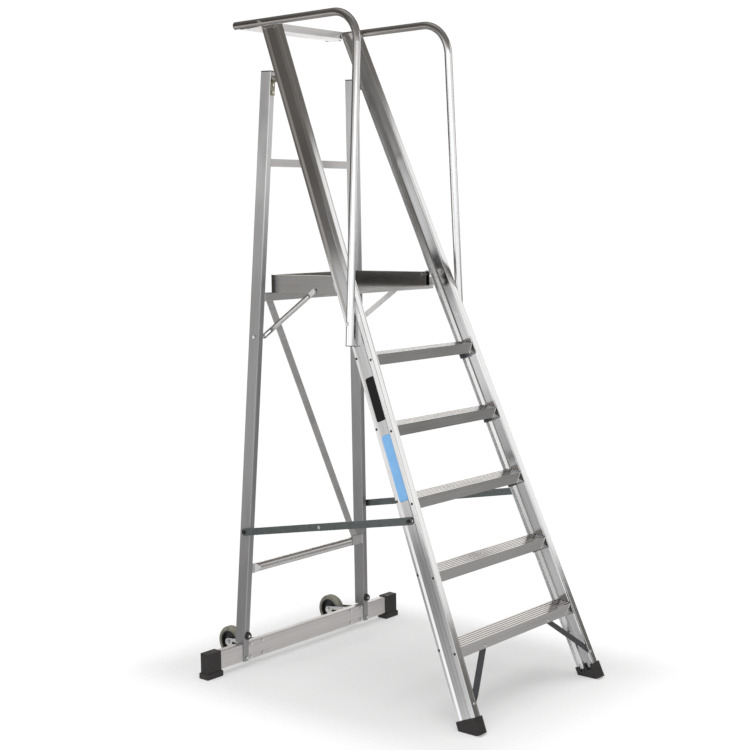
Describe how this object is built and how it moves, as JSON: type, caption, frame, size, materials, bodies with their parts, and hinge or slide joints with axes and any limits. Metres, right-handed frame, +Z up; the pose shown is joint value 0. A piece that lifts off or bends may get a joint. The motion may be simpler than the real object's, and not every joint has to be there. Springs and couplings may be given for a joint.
{
  "type": "podium step",
  "caption": "Folding aluminium podium step with a hinged toe-boarded platform, tubular handrails, ribbed treads, stay straps and a wide base bar with tilt wheels.",
  "frame": {"origin": "on the floor, at the middle of the footprint", "axes": "+Z up, +Y the way the climber faces, +X to the right of the climber"},
  "size_m": [1.156, 1.3926, 2.54],
  "materials": {
    "mill_alloy": "mill finish extrusion",
    "tread_alloy": "ribbed mill finish extrusion",
    "dull_alloy": "dull mill finish",
    "galvanised_steel": "dull galvanised strap",
    "zinc_steel": "bright zinc plate",
    "dark_steel": "dark grey coating",
    "black_rubber": "matt moulded rubber",
    "black_plastic": "matt moulded plastic",
    "tyre": "grey non-marking rubber"
  },
  "bodies": {
    "front_section": {"stile_left": "mill_alloy", "stile_right": "mill_alloy", "tread_1": "tread_alloy", "tread_2": "tread_alloy", "tread_3": "tread_alloy", "tread_4": "tread_alloy", "tread_5": "tread_alloy", "tread_rivets": "black_plastic", "tread_brackets": "dark_steel", "shoe_left": "black_rubber", "shoe_right": "black_rubber", "tread_brace_left": "dark_steel", "tread_brace_right": "dark_steel", "brace_rivets": "zinc_steel", "handrail_left": "mill_alloy", "handrail_right": "mill_alloy", "handrail_plugs": "black_plastic", "front_bolts": "zinc_steel", "top_tray": "dull_alloy", "hinge_front_leaves": "dark_steel", "stay_front_brackets": "zinc_steel", "stay_front_pins": "zinc_steel", "platform_brackets": "zinc_steel", "platform_pins": "zinc_steel"},
    "rear_frame": {"rear_leg_left": "mill_alloy", "rear_leg_right": "mill_alloy", "leg_caps": "black_plastic", "upper_crossbar": "dull_alloy", "platform_bar": "dull_alloy", "lower_cross_tube": "dull_alloy", "diagonal_brace": "dull_alloy", "base_bar": "mill_alloy", "base_boot_left": "black_rubber", "base_boot_right": "black_rubber", "wheel_brackets": "zinc_steel", "buffers": "black_rubber", "rear_frame_bolts": "zinc_steel", "hinge_rear_leaves": "dark_steel", "hinge_pins": "zinc_steel", "stay_rear_brackets": "zinc_steel", "stay_rear_pins": "zinc_steel", "wheel_axles": "zinc_steel", "strut_pins": "zinc_steel"},
    "platform": {"deck": "dull_alloy", "toe_board": "dull_alloy", "deck_rivets": "zinc_steel", "strut_bolts": "zinc_steel"},
    "strut_left": {"strut_left": "dull_alloy"},
    "strut_right": {"strut_right": "dull_alloy"},
    "stay_front_left": {"stay_front_link_left": "galvanised_steel", "stay_rivet_left": "zinc_steel"},
    "stay_rear_left": {"stay_rear_link_left": "galvanised_steel"},
    "wheel_left": {"tyre_left": "tyre", "hub_left": "black_plastic"},
    "stay_front_right": {"stay_front_link_right": "galvanised_steel", "stay_rivet_right": "zinc_steel"},
    "stay_rear_right": {"stay_rear_link_right": "galvanised_steel"},
    "wheel_right": {"tyre_right": "tyre", "hub_right": "black_plastic"}
  },
  "joints": [
    {"name": "rear_fold", "type": "hinge", "parent": "front_section", "child": "rear_frame", "pos_m": [0, 0.37225, 2.31], "axis": [-1, 0, 0], "range_deg": [0, 17]},
    {"name": "platform_fold", "type": "hinge", "parent": "front_section", "child": "platform", "pos_m": [0, 0.04128, 1.55], "axis": [1, 0, 0], "range_deg": [0, 66]},
    {"name": "strut_left_pivot", "type": "hinge", "parent": "platform", "child": "strut_left", "pos_m": [-0.2556, 0.18028, 1.502], "axis": [-1, 0, 0], "range_deg": [0, 118.92]},
    {"name": "strut_right_pivot", "type": "hinge", "parent": "platform", "child": "strut_right", "pos_m": [0.2556, 0.18028, 1.502], "axis": [-1, 0, 0], "range_deg": [0, 118.92]},
    {"name": "stay_front_left_pivot", "type": "hinge", "parent": "front_section", "child": "stay_front_left", "pos_m": [-0.3618, -0.35605, 0.702], "axis": [1, 0, 0], "range_deg": [0, 54.54]},
    {"name": "stay_front_right_pivot", "type": "hinge", "parent": "front_section", "child": "stay_front_right", "pos_m": [0.3618, -0.35605, 0.702], "axis": [1, 0, 0], "range_deg": [0, 54.54]},
    {"name": "stay_rear_left_pivot", "type": "hinge", "parent": "rear_frame", "child": "stay_rear_left", "pos_m": [-0.3585, 0.48745, 0.548], "axis": [-1, 0, 0], "range_deg": [0, 61.59]},
    {"name": "stay_rear_right_pivot", "type": "hinge", "parent": "rear_frame", "child": "stay_rear_right", "pos_m": [0.3585, 0.48745, 0.548], "axis": [-1, 0, 0], "range_deg": [0, 61.59]},
    {"name": "wheel_left_spin", "type": "hinge", "parent": "rear_frame", "child": "wheel_left", "pos_m": [-0.302, 0.63375, 0.066], "axis": [1, 0, 0], "continuous": true},
    {"name": "wheel_right_spin", "type": "hinge", "parent": "rear_frame", "child": "wheel_right", "pos_m": [0.302, 0.63375, 0.066], "axis": [1, 0, 0], "continuous": true}
  ],
  "couplings": [
    {"joint": "platform_fold", "follows": "rear_fold", "ratio": 3.8824},
    {"joint": "strut_left_pivot", "follows": "rear_fold", "ratio": 6.9948},
    {"joint": "strut_right_pivot", "follows": "rear_fold", "ratio": 6.9948},
    {"joint": "stay_front_left_pivot", "follows": "rear_fold", "ratio": 3.2078},
    {"joint": "stay_front_right_pivot", "follows": "rear_fold", "ratio": 3.2078},
    {"joint": "stay_rear_left_pivot", "follows": "rear_fold", "ratio": 3.6226},
    {"joint": "stay_rear_right_pivot", "follows": "rear_fold", "ratio": 3.6226}
  ]
}
